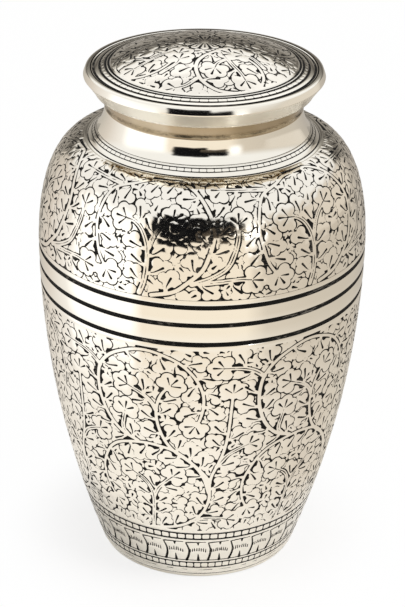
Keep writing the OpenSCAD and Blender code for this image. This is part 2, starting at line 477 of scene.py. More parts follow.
def plated_metal(name, bright, warm, smooth, hazy, wave, wave_size=0.009):
    """A polished metal. Its colour drifts between bright and warm with the cloudy patches, and its roughness
    follows the hand polish. A bump of height wave, in waves of wave_size metres, makes the reflections waver
    as on a hand-finished sheet."""
    material, tree, shader = new_paint(name)
    link = tree.links.new
    shader.inputs["Metallic"].default_value = 1.0
    polish = node(tree, "ShaderNodeGroup", node_tree=hand_polish)
    polish.inputs["Smooth"].default_value = smooth
    polish.inputs["Hazy"].default_value = hazy
    link(tint(tree, polish.outputs["Cloudy"], bright, warm), shader.inputs["Base Color"])
    link(polish.outputs["Roughness"], shader.inputs["Roughness"])
    place = node(tree, "ShaderNodeTexCoord")
    ripple = node(tree, "ShaderNodeTexNoise", in_2=1 / wave_size, in_3=2.0)
    bump = node(tree, "ShaderNodeBump", in_0=1.0, in_1=wave)
    link(place.outputs["Object"], ripple.inputs["Vector"])
    link(ripple.outputs[0], bump.inputs["Height"])
    link(bump.outputs[0], shader.inputs["Normal"])
    return material


def black_fill(name, deep, worn_through):
    """Black in the cut grooves: matt and dark, and rubbed thin where the product of the cloudy patches and
    the streaks is high, so that grey metal shows through there."""
    material, tree, shader = new_paint(name)
    link = tree.links.new
    shader.inputs["Specular IOR Level"].default_value = 0.1
    polish = node(tree, "ShaderNodeGroup", node_tree=hand_polish)
    polish.inputs["Patch Size"].default_value = 0.022
    polish.inputs["Streak Size"].default_value = 0.003
    polish.inputs["Smooth"].default_value = 0.42
    polish.inputs["Hazy"].default_value = 0.7
    thin = node(tree, "ShaderNodeMath", operation="MULTIPLY")
    link(polish.outputs["Cloudy"], thin.inputs[0])
    link(polish.outputs["Rubbed"], thin.inputs[1])
    worn = node(tree, "ShaderNodeMapRange", in_1=0.45, in_2=0.95, in_3=0.0, in_4=0.6)
    link(thin.outputs[0], worn.inputs[0])
    link(tint(tree, worn.outputs[0], deep, worn_through), shader.inputs["Base Color"])
    link(worn.outputs[0], shader.inputs["Metallic"])
    link(polish.outputs["Roughness"], shader.inputs["Roughness"])
    return material


nickel = plated_metal("polished_nickel", (0.91, 0.875, 0.80), (0.87, 0.825, 0.74), 0.05, 0.12, 0.00014)
groove_black = black_fill("groove_black", (0.006, 0.0055, 0.005), (0.30, 0.27, 0.23))
brass = plated_metal("bare_brass", (0.72, 0.55, 0.30), (0.58, 0.42, 0.21), 0.28, 0.42, 0.0001)
metals = [nickel, groove_black, brass]


# The border's drawing, in four like quarters at radius tile_r: beads between lines and a row of curved tiles.
# A row of beads is its low and high edge and the gap between beads. A line is its place and half width.
tile_r = 52.0
border_quarters = 4
tile_quarter = 2 * math.pi * tile_r / border_quarters
tiles_per_quarter = 8
beads_per_quarter = 23
tile_low, tile_high = 12.82, 26.02
bead_rows = [(7.63, 10.74, 0.24), (28.55, 31.77, 0.28)]
border_lines = [(tile_low, 0.3), (7.2, 0.26), (11.2, 0.26), (28.1, 0.34), (32.2, 0.34)]
dashes_at = 5.43
field_line = 33.97
cut_s = field_line - 0.5
base_low = 2.6
base_inner_low = 4.2


def bead_land(x, s, low, high, pitch, gap):
    """Round-cornered beads in a row between low and high, one in each pitch with gap between them: the depth
    inside a box less its corners, joined to the land outside the row."""
    half_x, half_s, corner = pitch / 2 - gap, (high - low) / 2 - gap, 0.16 * (high - low)
    dx = np.abs((x + pitch / 2) % pitch - pitch / 2) - half_x + corner
    ds = np.abs(s - (low + high) / 2) - half_s + corner
    bead = corner - np.hypot(np.maximum(dx, 0), np.maximum(ds, 0)) - np.minimum(np.maximum(dx, ds), 0)
    return np.maximum(bead, np.abs(s - (low + high) / 2) - (high - low) / 2)


def curve_through(points, spacing=1.1):
    """A smooth curve through given points. Between two points b and c, with neighbours a and d, it is the
    cubic (2b + (c-a)t + (2a-5b+4c-d)t^2 + (3b-a-3c+d)t^3) / 2."""
    p = np.asarray(points, float)
    p = np.concatenate([[2 * p[0] - p[1]], p, [2 * p[-1] - p[-2]]])
    parts = []
    for a, b, c, d in zip(p, p[1:], p[2:], p[3:]):
        t = np.linspace(0, 1, max(2, round(math.dist(b, c) / spacing)), endpoint=False)[:, None]
        squared, cubed = (2 * a - 5 * b + 4 * c - d) * t**2, (3 * b - a - 3 * c + d) * t**3
        parts.append((2 * b + (c - a) * t + squared + cubed) / 2)
    return np.concatenate(parts + [p[-2:-1]])


def tapered(line, start, end):
    """A line of points as straight strokes whose half width goes evenly from start to end."""
    w = np.linspace(start, end, len(line))
    return [tuple(row) for row in np.column_stack([line[:-1], line[1:], w[:-1], w[1:]])]


def tile_strokes():
    """Graver strokes of one quarter of the border. Each tile has a bowed joint that thickens downwards, a
    line and a notch at its top, a wedge at its bottom and a row of short hatch strokes along an arch, all a
    little unlike its neighbours'. A broken line of dashes runs under the beads."""
    rng = np.random.default_rng(11)
    pitch = tile_quarter / tiles_per_quarter
    strokes = []
    for k in range(tiles_per_quarter):
        x = (k + 0.5) * pitch
        bow = rng.uniform(0.7, 1.2)
        joint = [(x, tile_low), (x + bow, tile_low + 4), (x + 1.1 * bow, tile_low + 8)]
        joint.append((x - 0.2, tile_high - 0.4))
        strokes += tapered(curve_through(joint), 0.66, 0.3)
        top = [(x + 0.4, tile_high - 0.3), (x + 0.32 * pitch, tile_high)]
        top.append((x + 0.86 * pitch, tile_high + 0.15))
        strokes += tapered(curve_through(top), 0.4, 0.24)
        mid = x + (0.5 + rng.uniform(-0.05, 0.05)) * pitch
        strokes += [(mid, tile_high - 0.4, mid + 0.1, tile_high - 2.0, 0.6, 0.2)]
        strokes += [(mid + 0.3, tile_low, mid + 0.1, tile_low + rng.uniform(3.8, 4.8), 0.75, 0.22)]
        count = int(rng.integers(8, 10))
        for i in range(count):
            share = i / (count - 1) - 0.5
            hx = mid + share * 0.7 * pitch
            arch = 0.9 * (1 - 4 * share**2)
            low = tile_low + 6.1 + arch
            strokes.append((hx, low, hx + rng.uniform(-0.1, 0.2), low + rng.uniform(1.7, 2.5), 0.3, 0.2))
    dash = 0.0
    while dash < tile_quarter:
        length = rng.uniform(3, 11)
        strokes.append((dash, dashes_at, dash + length, dashes_at + rng.uniform(-0.1, 0.1), 0.12, 0.2))
        dash += length + rng.uniform(1.5, 5)
    return strokes


border_strokes = tile_strokes()


def border_field(x, s):
    """The border as a land distance: lines and beads round the urn, and the strokes of the tiles."""
    d = signed_reach(x, s, border_strokes, tile_quarter)
    for at, half in border_lines:
        np.minimum(d, np.abs(s - at) - half, out=d)
    for low, high, gap in bead_rows:
        np.minimum(d, bead_land(x, s, low, high, tile_quarter / beads_per_quarter, gap), out=d)
    return d


def on_body(r_ref):
    """Places a drawing made at radius r_ref on the body's side: angle = x / r_ref, profile point at s."""
    return lambda x, s, sink: turn(body.at(s, sink), x / r_ref)


def inner_wall(top, bottom, rows):
    """Points of the body's inner side, the wall's thickness in from the side, from s = top to s = bottom."""
    return [tuple(p) for p in body.at(np.linspace(top, bottom, rows), np.full(rows, wall))]


body_turns = 264
base_sheet = ring_sheet(border_field, tile_quarter, base_low, cut_s, 0.3, body_turns // border_quarters)
foot_inner_r = foot_r - foot_rim_w
base_tail = inner_wall(cut_s, base_inner_low, 12)
base_tail += [(inner_floor_r, floor_z), (30.0, floor_z), (12.0, floor_z), (0.0, floor_z), (0.0, foot_recess)]
base_tail += [(20.0, foot_recess), (foot_inner_r, foot_recess), (foot_inner_r, foot_edge)]
base_tail += [(foot_inner_r + foot_edge, 0.0), (foot_r - 0.9, 0.0), (foot_r - 0.22, 0.32)]
base_groups = [BRASS + 4] + [BRASS] * 11 + [BRASS + 8] * 5
base_groups += [PLATE + 4] * 2 + [PLATE + 8] + [PLATE + 12] * 3 + [PLATE]
vessel_base = relief_ring(
    "vessel_base", base_sheet, on_body(tile_r), base_tail, base_groups, metals, border_quarters
)
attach(vessel_base, "root")
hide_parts("vessel")


# ---------------------------------------------------------------------------
# Lower field of the body: vine scrolls and lobed leaves, chased into the brass
# with the ground between them cut down and filled with black. One drawing of
# two scrolls and a centre stem goes six times round the urn.

# A vine's half widths at its root and tip, and of the line cut along its middle, which is 0 for no line.
main_vine = (0.85, 0.55, 0.0)
side_vine = (1.0, 0.78, 0.22)
# A leaf's round lobes: angle from its heading, distance from its centre and radius, for a leaf of size 1.
tip_lobes = [(-104, 3.4, 2.3), (-52, 4.0, 2.5), (0, 4.3, 2.6), (52, 4.0, 2.5), (104, 3.4, 2.3), (0, 0, 2.6)]
side_lobes = [(-66, 2.6, 2.0), (0, 3.2, 2.3), (66, 2.6, 2.0), (180, 1.2, 1.4), (0, 0, 2.0)]
fill_lobes = [(-120, 2.3, 1.9), (0, 2.5, 2.1), (115, 2.3, 1.9), (0, 0, 1.9)]
tip_size = 1.08
# Leaves along a vine: the pitch, how far a centre stands out from the vine's edge and ahead, and the least
# room it keeps from other centres, from the vines and from the edge of the field.
leaf_pitch, leaf_out, leaf_ahead = 3.8, 3.9, 1.6
leaf_room, vine_room, edge_room = 6.1, 2.0, 1.5
# Bare ground is looked for at points one ground_step apart over all that a drawing can cover.
ground_step, ground_low, ground_high = 1.0, -45, 225
most_bare = 0.62
plain_vein_angle = 104
ground_gap = 0.4
vine_ground = 0.15


def leaf_reach(x, s, leaf, period):
    """Distance from each point to the edge of a leaf (x, s, heading in degrees, size, lobes), negative
    inside: the least of the distances to its round lobes."""
    at_x, at_s, heading, size, lobes = leaf
    best = np.full(x.shape, 1e3)
    for angle, out, radius in lobes:
        a = math.radians(heading + angle)
        dx = (x - at_x - size * out * math.cos(a) + period / 2) % period - period / 2
        ds = s - at_s - size * out * math.sin(a)
        np.minimum(best, np.sqrt(dx * dx + ds * ds) - size * radius, out=best)
    return best


def wander(x, s, period):
    """A slow variation from -1 to 1 over the drawing: the mean of three waves whose lengths fit the
    period."""
    a = 2 * math.pi * x / period
    return (np.sin(7 * a + 0.55 * s) + np.sin(11 * a - 0.38 * s + 1.7) + np.sin(4 * a + 0.83 * s + 0.6)) / 3


def room_at(x, s, placed, period, room):
    """Whether a leaf centre at (x, s) keeps room from the centres placed so far."""
    gaps = [math.hypot((x - leaf[0] + period / 2) % period - period / 2, s - leaf[1]) for leaf in placed]
    return min(gaps, default=99) > room


def leaf_beside(line, i, side, start, rng):
    """A leaf (x, s, heading, size, lobes) for one side of point i of a vine, with its lean in radians, the
    way along the vine there and the way out from it. It stands off the vine, a little ahead, and leans
    forward by a chance angle."""
    ahead = line[min(i + 1, len(line) - 1)] - line[i - 1]
    ahead /= np.hypot(*ahead)
    out = side * np.array([-ahead[1], ahead[0]])
    x, s = line[i] + (leaf_out + start) * out + leaf_ahead * ahead
    lean = math.atan2(*(out + 0.75 * ahead)[::-1]) + math.radians(rng.uniform(-14, 14))
    return (x, s, math.degrees(lean), rng.uniform(0.98, 1.2), side_lobes), lean, ahead, out


def fill_bare_ground(leaves, covered, period, inside_of, rng):
    """Adds leaves where most ground is bare, one at a time, until no point is farther than most_bare from
    what covers the ground. A leaf is larger where more is bare."""
    across = np.arange(-period / 2, period / 2, ground_step)
    along = np.arange(ground_low, ground_high, ground_step)
    gx, gs = np.meshgrid(across, along, indexing="ij")
    near = inside_of(gx, gs) > 0.8
    gx, gs = gx[near], gs[near]
    clear = signed_reach(gx, gs, covered, period) - 0.3
    for leaf in leaves:
        np.minimum(clear, leaf_reach(gx, gs, leaf, period), out=clear)
    while clear.max() > most_bare:
        i = np.argmax(clear)
        leaf = (gx[i], gs[i], rng.uniform(0, 360), min(1.25, 0.5 + clear[i] / 4.2), fill_lobes)
        leaves.append(leaf)
        np.minimum(clear, leaf_reach(gx, gs, leaf, period), out=clear)
        clear[i] = 0.0


def grow(vines, period, inside_of, seed):
    """Sets leaves on the vines and in the ground between them, and returns the vines' bands, the leaves, the
    stems that join leaves to vines and the cut veins. Each vine is its points and its widths, and has a leaf
    at its tip. Leaves then stand in turn on both sides of each vine, and last where most ground is bare."""
    rng = np.random.default_rng(seed)
    bands, stems, veins, leaves = [], [], [], []
    lines = [curve_through(points) for points, _ in vines]
    for line, (_, (start, end, _)) in zip(lines, vines):
        bands += tapered(line, start, end)
        ahead = line[-1] - line[-3]
        leaves.append((*line[-1], math.degrees(math.atan2(ahead[1], ahead[0])), tip_size, tip_lobes))
    for line, (_, (start, _, _)) in zip(lines, vines):
        walked = np.concatenate([[0], np.cumsum(np.hypot(*np.diff(line, axis=0).T))])
        side = 1
        for where in np.arange(2.5, walked[-1] - 3.0, leaf_pitch):
            side = -side
            i = int(np.searchsorted(walked, where))
            leaf, lean, ahead, out = leaf_beside(line, i, side, start, rng)
            x, s, _, size, _ = leaf
            near = signed_reach(np.array([x]), np.array([s]), bands, period)[0]
            free = near >= vine_room and inside_of(x, s) >= edge_room
            if not free or not room_at(x, s, leaves, period, leaf_room):
                continue
            leaves.append(leaf)
            root = line[i] + start * out
            stem = curve_through([root - 0.8 * ahead, root + 1.7 * out - 0.1 * ahead, (x, s)])
            stems += tapered(stem, 0.75, 1.1)
            club = np.array([x, s]) + 2.0 * size * np.array([math.cos(lean), math.sin(lean)])
            vein = curve_through([root + 0.9 * out, root + 2.3 * out + 0.3 * ahead, club])
            veins += tapered(vein, 0.14, 0.55)
    fill_bare_ground(leaves, bands + stems, period, inside_of, rng)
    for x, s, heading, size, lobes in leaves:
        if lobes is side_lobes:
            continue
        for angle, out, _ in lobes[:-1]:
            plain = abs(angle) == plain_vein_angle
            if plain or lobes is fill_lobes and (size < 0.8 or rng.random() < 0.5):
                continue
            a = math.radians(heading + angle)
            tip = (x + size * out * math.cos(a), s + size * out * math.sin(a))
            veins.append((x + 0.5 * math.cos(a), s + 0.5 * math.sin(a), *tip, 0.13, 0.5 * size))
    return bands, leaves, stems, veins


def foliage_field(vines, period, inside_of, seed):
    """A drawing of leaves behind vines as a land distance. A leaf shows where it is a gap away from all that
    lies over it: land = the greatest of min(depth in the leaf, distance to what covers it - gap). Vines, the
    leaves at their tips and the stems are one land. A plain edge is kept where inside_of, the depth, is
    small."""
    bands, leaves, stems, veins = grow(vines, period, inside_of, seed)
    for points, (_, _, core) in vines:
        if core:
            veins += tapered(curve_through(points)[2:], 0.7 * core, core)

    def field(x, s):
        slow = wander(x, s, period)
        gap = ground_gap + 0.26 * slow
        cover = signed_reach(x, s, bands, period)
        for leaf in leaves[: len(vines)]:
            np.minimum(cover, leaf_reach(x, s, leaf, period), out=cover)
        stem = signed_reach(x, s, stems, period)
        d = np.maximum(-cover, -stem)
        cover -= vine_ground
        for leaf in leaves[len(vines) :]:
            reach = leaf_reach(x, s, leaf, period)
            np.maximum(d, np.minimum(-reach, cover - gap), out=d)
            np.minimum(cover, reach, out=cover)
        np.maximum(d, -stem, out=d)
        np.minimum(d, signed_reach(x, s, veins, period) - 0.1 * slow, out=d)
        depth = inside_of(x, s)
        return np.where(depth < 0.4, 0.4 - depth, np.minimum(d, depth - 0.4))

    return field


def between(low, high):
    """How far inside a band from low to high a point lies."""
    return lambda x, s: np.minimum(s - low, high - s)


field_r = 68.0
field_repeats = 6
field_width = 2 * math.pi * field_r / field_repeats
field_columns = body_turns // field_repeats
field_cell = 0.4
lower_top = 141.0
lower_line = 140.5
lower_vines = [
    (
        [(-28, 87.9), (-36, 91.6), (-41.7, 98.5), (-45, 107.3), (-45.8, 116), (-44.2, 124.8), (-39.2, 131.6),
         (-32.3, 136), (-24.8, 138.3), (-17.3, 137.5), (-8.6, 133.5), (-2.3, 126.6), (1.2, 118.5), (1.7, 111),
         (0.2, 103.5), (-1.7, 99.8)],
        main_vine,
    ),
    (
        [(5.4, 66), (2.7, 71), (-3.6, 78.5), (-10.4, 84.1), (-14.8, 89.8), (-17.6, 97.3), (-18.6, 104.8),
         (-17.9, 111), (-15.8, 116.6), (-12.3, 121)],
        main_vine,
    ),
    ([(-18.6, 107.3), (-20.4, 111), (-24.2, 114.8), (-31, 118.3)], side_vine),
    ([(-32.3, 89.8), (-34.8, 94), (-33, 104)], side_vine),
    (
        [(-26, 34.1), (-14.8, 36), (-7.3, 38.5), (-1, 42.9), (2.9, 47.9), (5.2, 54.8), (5.4, 61), (5.4, 66),
         (6.4, 71), (9.2, 78.5), (11.4, 86), (12.7, 94.8), (13.3, 103.5), (13.7, 112.3), (14, 117.3)],
        main_vine,
    ),
    (
        [(5, 60), (2.9, 68), (0, 74), (-5, 80), (-11, 84.8), (-18.5, 87), (-26, 87.3), (-36, 84.8),
         (-42.3, 80.4), (-46.7, 73.5), (-49.6, 66), (-49.8, 59.8), (-48.6, 53.5), (-45.4, 47.3)],
        main_vine,
    ),
    ([(-24.8, 34.8), (-23.6, 43.5), (-22.6, 53.5), (-23.6, 59.8), (-26.7, 64.8), (-32.3, 68.5)], side_vine),
    ([(-22.6, 54.8), (-19.8, 61), (-15.4, 66), (-12.3, 69.1)], side_vine),
    ([(8.3, 76), (12.7, 82.3), (18.3, 86), (22.7, 87.9)], side_vine),
    ([(27, 124.8), (22.6, 128.5), (17.6, 130.4), (10.2, 131)], side_vine),
    ([(-3.6, 41), (2.7, 42.9), (10.2, 42.9), (15.2, 41.6)], side_vine),
]
lower_leaves = foliage_field(lower_vines, field_width, between(field_line, lower_line), 3)


def lower_field(x, s):
    """The lower drawing with the line under it and the fine line over it."""
    lines = np.minimum(np.abs(s - field_line) - 0.2, np.abs(s - lower_line) - 0.12)
    return np.minimum(lower_leaves(x, s), lines)


def wall_groups(tail):
    """Groups of a tail that is all inner wall, with the two cut edges apart from it."""
    return [BRASS + 4] + [BRASS] * (len(tail) - 1) + [BRASS + 4]


lower_sheet = ring_sheet(lower_field, field_width, cut_s, lower_top, field_cell, field_columns)
lower_tail = inner_wall(lower_top, cut_s, 14)
for k in range(3):
    lower_piece = relief_ring(
        f"vessel_lower_field_{k + 1}", lower_sheet, on_body(field_r), lower_tail, wall_groups(lower_tail),
        metals, 2, 2 * k, field_repeats,
    )
    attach(lower_piece, "root")
    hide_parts("vessel")


# ---------------------------------------------------------------------------
# Belly band: three grooves turned into the widest part on a lathe and filled
# with black, with polished rings between them that are slightly crowned.

band_top = 164.2
band_grooves = (143.47, 152.92, 161.65)
band_groove_half = 1.1
band_groove_deep = 0.55
crown = 0.16


def turned_ring(name, side, sinks, group_at, tail, tail_groups, materials, turns):
    """A closed ring turned from a profile: side.at(s, sink) for the rows (s, sink) from bottom to top, with
    group_at(s0, s1) for each step, and then the tail round the back. Each row is a circle of corners."""
    rows = [side.at(np.array([s]), np.array([sink]))[0] for s, sink in sinks] + [np.array(p) for p in tail]
    profile = np.array(rows)
    groups = [group_at(a[0], b[0]) for a, b in zip(sinks, sinks[1:])] + tail_groups
    angles = np.arange(turns) * 2 * math.pi / turns
    corners = turn(profile[:, None, :], angles[None, :])
    count = len(profile)
    k, a = np.meshgrid(np.arange(count), np.arange(turns), indexing="ij")
    k1, a1 = (k + 1) % count, (a + 1) % turns
    quads = np.stack([k * turns + a, k * turns + a1, k1 * turns + a1, k1 * turns + a], -1).reshape(-1, 4)
    face_groups = np.repeat(np.array(groups), turns)
    u = np.stack([a / turns, (a + 1) / turns, (a + 1) / turns, a / turns], -1).reshape(-1, 4)
    bands = {PLATE: land_band, FILL: groove_band, BRASS: back_band}
    charts = np.zeros((count, 2))
    for material, band in bands.items():
        mine = [i for i in range(count) if groups[i] % 4 == material]
        lengths = np.array([np.hypot(*(profile[(i + 1) % count] - profile[i])) + 0.2 for i in mine])
        ends = np.concatenate([[0], np.cumsum(lengths)]) / max(lengths.sum(), 1e-6)
        for i, low, high in zip(mine, ends, ends[1:]):
            charts[i] = in_band(band, low), in_band(band, high)
    low, high = np.repeat(charts[:, 0], turns), np.repeat(charts[:, 1], turns)
    uv = np.stack([u, np.stack([low, low, high, high], 1)], -1).reshape(-1, 2)
    return mesh_piece(name, corners.reshape(-1, 3), quads.tolist(), face_groups, uv, materials)


def band_rows(low, high, grooves, half, deep, swell):
    """Rows (s, sink) of turned grooves with round bottoms, sink = swell + deep * sqrt(1 - t^2) with t from
    -1 to 1 across the groove, between rings that bow out: sink = swell * |u|^2.5 with u from -1 to 1 across
    the ring. The outer sides of the first and last ring are flat."""
    edges = [low] + [g + side * half for g in grooves for side in (-1, 1)] + [high]
    rows = []
    for k in range(0, len(edges), 2):
        a, b = edges[k], edges[k + 1]
        first, last = (1.0 if k else 0.0), (1.0 if k + 2 < len(edges) else 0.0)
        for share in np.linspace(0, 1, 15 if first and last else 7):
            u = 2 * share - 1
            side = first if u < 0 else last
            rows.append((a + share * (b - a), swell * side * abs(u) ** 2.5))
        if k + 2 < len(edges):
            for t in np.linspace(-1, 1, 9)[1:-1]:
                rows.append((b + (t + 1) * half, swell + deep * math.sqrt(1 - t * t)))
    return rows


def groove_group(grooves, half):
    """The fill's number for a step whose middle lies in a groove, else the plate's."""
    return lambda a, b: FILL if min(abs((a + b) / 2 - g) for g in grooves) < half else PLATE


band_sinks = band_rows(lower_top, band_top, band_grooves, band_groove_half, band_groove_deep, crown)
band_tail = inner_wall(band_top, lower_top, 5)
ring_nickel = plated_metal("ring_nickel", (0.92, 0.89, 0.815), (0.90, 0.865, 0.78), 0.05, 0.09, 0.00002, 0.03)
ring_metals = [ring_nickel, groove_black, brass]
belly_band = turned_ring(
    "vessel_belly_band", body, band_sinks, groove_group(band_grooves, band_groove_half),
    band_tail, wall_groups(band_tail), ring_metals, body_turns,
)
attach(belly_band, "root")
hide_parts("vessel")


# ---------------------------------------------------------------------------
# Shoulder field: the same chased work on the upper part of the body, one
# closed scroll with a three-fingered spray in each of six repeats.

shoulder_top = 221.9
shoulder_vines = [
    (
        [(-19.8, 166.2), (-11, 168.7), (-5.4, 173.3), (0.2, 179), (2.9, 185.2), (4.9, 192.7), (4.9, 199),
         (2.7, 205.2), (-1, 211.5), (-6, 216.5), (-11, 219.2), (-19.8, 219), (-27.3, 218.3), (-33.6, 215.2),
         (-41, 212), (-44.2, 209), (-46.3, 202.7), (-47, 195.2), (-45.8, 187.7), (-43.6, 180.2),
         (-39.8, 174)],
        main_vine,
    ),
    (
        [(-24.8, 166.5), (-22.9, 172.7), (-22, 181.5), (-22.6, 189), (-25.4, 195.2), (-29.2, 198.3),
         (-33, 199)],
        side_vine,
    ),
    ([(-21.7, 187.7), (-19.8, 193.3), (-16.7, 197.7), (-12.3, 200.8)], side_vine),
    ([(-3.6, 172.7), (3.9, 175.8), (10.2, 180.2), (13.3, 186.5), (14.9, 192.7), (15.4, 199)], side_vine),
    ([(1.4, 173.3), (8.9, 174), (15.2, 174.6), (20, 174)], side_vine),
    ([(30.2, 213.3), (24, 214), (16.4, 214.6), (8.9, 215)], side_vine),
]
shoulder_line = 164.9
shoulder_edge = 221.3
shoulder_leaves = foliage_field(shoulder_vines, field_width, between(shoulder_line, shoulder_edge), 8)


def shoulder_field(x, s):
    """The shoulder's drawing with the fine line under it."""
    return np.minimum(shoulder_leaves(x, s), np.abs(s - shoulder_line) - 0.14)


shoulder_sheet = ring_sheet(shoulder_field, field_width, band_top, shoulder_top, field_cell, field_columns)
shoulder_tail = inner_wall(shoulder_top, band_top, 12)
for k in range(2):
    shoulder_piece = relief_ring(
        f"vessel_shoulder_field_{k + 1}", shoulder_sheet, on_body(field_r), shoulder_tail,
        wall_groups(shoulder_tail), metals, 3, 3 * k, field_repeats,
    )
    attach(shoulder_piece, "root")
    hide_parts("vessel")


# ---------------------------------------------------------------------------
# Neck: a sloping ring with a row of punched beads, a hollow cove and an upright
# neck, turned from one piece of brass, soldered to the shoulder and polished.

ring_top_r, ring_top_z = 48.7, 214.0
neck_r, neck_top_z = 45.2, 239.4
cove_r, cove_top_z = 16.32, 224.1
cove_sweep = math.radians(38.2)
bore_r = neck_r - wall
neck_groups_round = 12
neck_beads = 8
neck_ref_r = 50.5
neck_width = 2 * math.pi * neck_ref_r / neck_groups_round
neck_edge = 0.4
neck_cut = 0.8
ring_side = Side(
    np.concatenate(
        [
            body.at(np.linspace(shoulder_top, body.s[-1], 4)),
            np.linspace((shoulder_r, shoulder_z), (ring_top_r, ring_top_z), 20)[1:],
        ]
    )
)
ring_start = body.s[-1] - shoulder_top
ring_end = ring_side.s[-1]
# Each line's distance from the start of the ring and its half width, and the edges of the row of beads.
neck_lines = [(0.65, 0.32), (3.1, 0.16), (5.1, 0.16), (6.15, 0.22)]
neck_bead_low, neck_bead_high = 3.3, 4.9


def neck_field(x, s):
    """The neck ring's drawing: four turned lines, and beads between the second and the third."""
    low, high = ring_start + neck_bead_low, ring_start + neck_bead_high
    d = bead_land(x, s, low, high, neck_width / neck_beads, 0.14)
    for at, half in neck_lines:
        np.minimum(d, np.abs(s - ring_start - at) - half, out=d)
    return d


def arc(centre_r, centre_z, radius, start, end, steps):
    """Points of a circular arc in the profile, from angle start to angle end in radians."""
    a = np.linspace(start, end, steps)
    return [(centre_r + radius * math.cos(t), centre_z + radius * math.sin(t)) for t in a]


neck_sheet = ring_sheet(neck_field, neck_width, 0.0, ring_end, 0.24, body_turns // neck_groups_round)
cove_at = (neck_r + cove_r, cove_top_z)
cove_low = arc(*cove_at, cove_r, math.pi + cove_sweep, math.pi, 16)[1:]
cove_line = [(neck_r, cove_top_z + 0.3), (neck_r - 0.12, cove_top_z + 0.45), (neck_r, cove_top_z + 0.6)]
upright = cove_line + [(neck_r, 232.0), (neck_r, neck_top_z - neck_edge)]
lip = [(neck_r - neck_edge, neck_top_z), (bore_r + neck_edge, neck_top_z), (bore_r, neck_top_z - neck_edge)]
neck_back = arc(*cove_at, cove_r + wall, math.pi, math.pi + cove_sweep, 12)
neck_back += inner_wall(body.s[-1], shoulder_top, 4)
neck_tail = cove_low + upright + lip + neck_back
# A part finished apart from the rest has a fourth metal: here the upright neck, a little rougher and browner.
# Its brown is painted shade for the recess under the lid's skirt.
DULL_OR_SHADED = 3
neck_nickel_painted_shade = plated_metal("neck_nickel_painted_shade", (0.50, 0.415, 0.30), (0.40, 0.32, 0.21), 0.10, 0.2, 0.00002, 0.03)
neck_metals = [*ring_metals, neck_nickel_painted_shade]
neck_groups = [PLATE] * len(cove_low) + [DULL_OR_SHADED] * len(upright) + [PLATE + 4, PLATE + 8, PLATE + 12]
neck_groups += [BRASS] * len(neck_back) + [BRASS + 4]


def on_ring(x, s, sink):
    """Places the neck ring's drawing: angle = x / neck_ref_r, profile point at s, cut to neck_cut * sink."""
    return turn(ring_side.at(s, neck_cut * sink), x / neck_ref_r)


neck = relief_ring("vessel_neck", neck_sheet, on_ring, neck_tail, neck_groups, neck_metals, neck_groups_round)
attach(neck, "root")
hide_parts("vessel")


# ---------------------------------------------------------------------------
# Lid dome: a shallow cap of sheet brass with a rosette at the top and four
# scrolls round it, chased and filled with black as the body is.

dome_r, dome_z, apex_z = 42.9, 244.0, 254.0
dome_ball = (dome_r**2 + (apex_z - dome_z) ** 2) / (2 * (apex_z - dome_z))
disc_r = 42.2
lid_wall = 2.0
collar_bore_r = 40.85
dome_vines = [
    (
        [(6.2, -9.5), (1, -14), (-3, -20), (-3.6, -27), (-1, -34), (5, -39), (12, -40), (19, -38.2),
         (24.5, -33), (26, -26), (23.5, -19), (18, -14), (12, -11.5)],
        main_vine,
    ),
    ([(6.2, -9.5), (9, -15), (12, -21), (16, -27), (18, -31)], side_vine),
    ([(10, -17), (6, -21), (4.5, -25)], side_vine),
    ([(-3.4, -32.5), (-8, -36.5), (-12.5, -37.5)], side_vine),
    ([(-19, -26.3), (-12.9, -21.3), (-11.2, -17.5)], side_vine),
]
rosette_r = 9.0
boss_r = 1.5
rosette_petals = 10
petal_lobes = [(0, 3.0, 0.75), (0, 4.4, 1.05), (0, 6.0, 1.4), (0, 7.6, 1.75), (0, 1.8, 0.5)]


def quarter_turned(points, k):
    """Plan points turned k quarters about the axis: a turn by 90 degrees takes (x, y) to (-y, x)."""
    p = np.asarray(points, float)
    for _ in range(k):
        p = np.stack([-p[:, 1], p[:, 0]], 1)
    return p


def disc_sheet(field, radius, cell, stride, columns):
    """A round drawing as triangles, as ring_sheet makes a straight one, ending at a circle of points, one for
    each of the columns."""
    half = cell * stride * math.ceil(radius / cell / stride)
    x = np.linspace(-half, half, 2 * round(half / cell) + 1)
    gx, gy = np.meshgrid(x, x, indexing="ij")
    out = np.hypot(gx, gy)
    d = settled(np.where(out > radius - 2 * cell, cell, field(gx, gy)), cell)
    keep = kept_points(d, cell, stride) & (out < radius - 0.7 * cell)
    a = np.arange(columns) * 2 * math.pi / columns
    rim = radius * np.stack([np.sin(a), -np.cos(a)], 1)
    rim_pairs = np.stack([np.arange(columns), (np.arange(columns) + 1) % columns], 1)
    return triangulated(d, x, x, keep, rim, rim_pairs)


def dome_depth(x, y):
    """How far inside the dome's ring of leaves a point lies, from the rosette's circle to the dome's edge."""
    r = np.hypot(x, y)
    return np.minimum(disc_r - 0.2 - r, r - rosette_r)


all_dome_vines = [(quarter_turned(p, k), widths) for k in range(4) for p, widths in dome_vines]
# A plan drawing doesn't repeat, so its period is wider than the lid.
plan_period = 200.0
dome_leaves = foliage_field(all_dome_vines, plan_period, dome_depth, 5)
petals = [(0.0, 0.0, 90 + k * 360 / rosette_petals, 1.0, petal_lobes) for k in range(rosette_petals)]


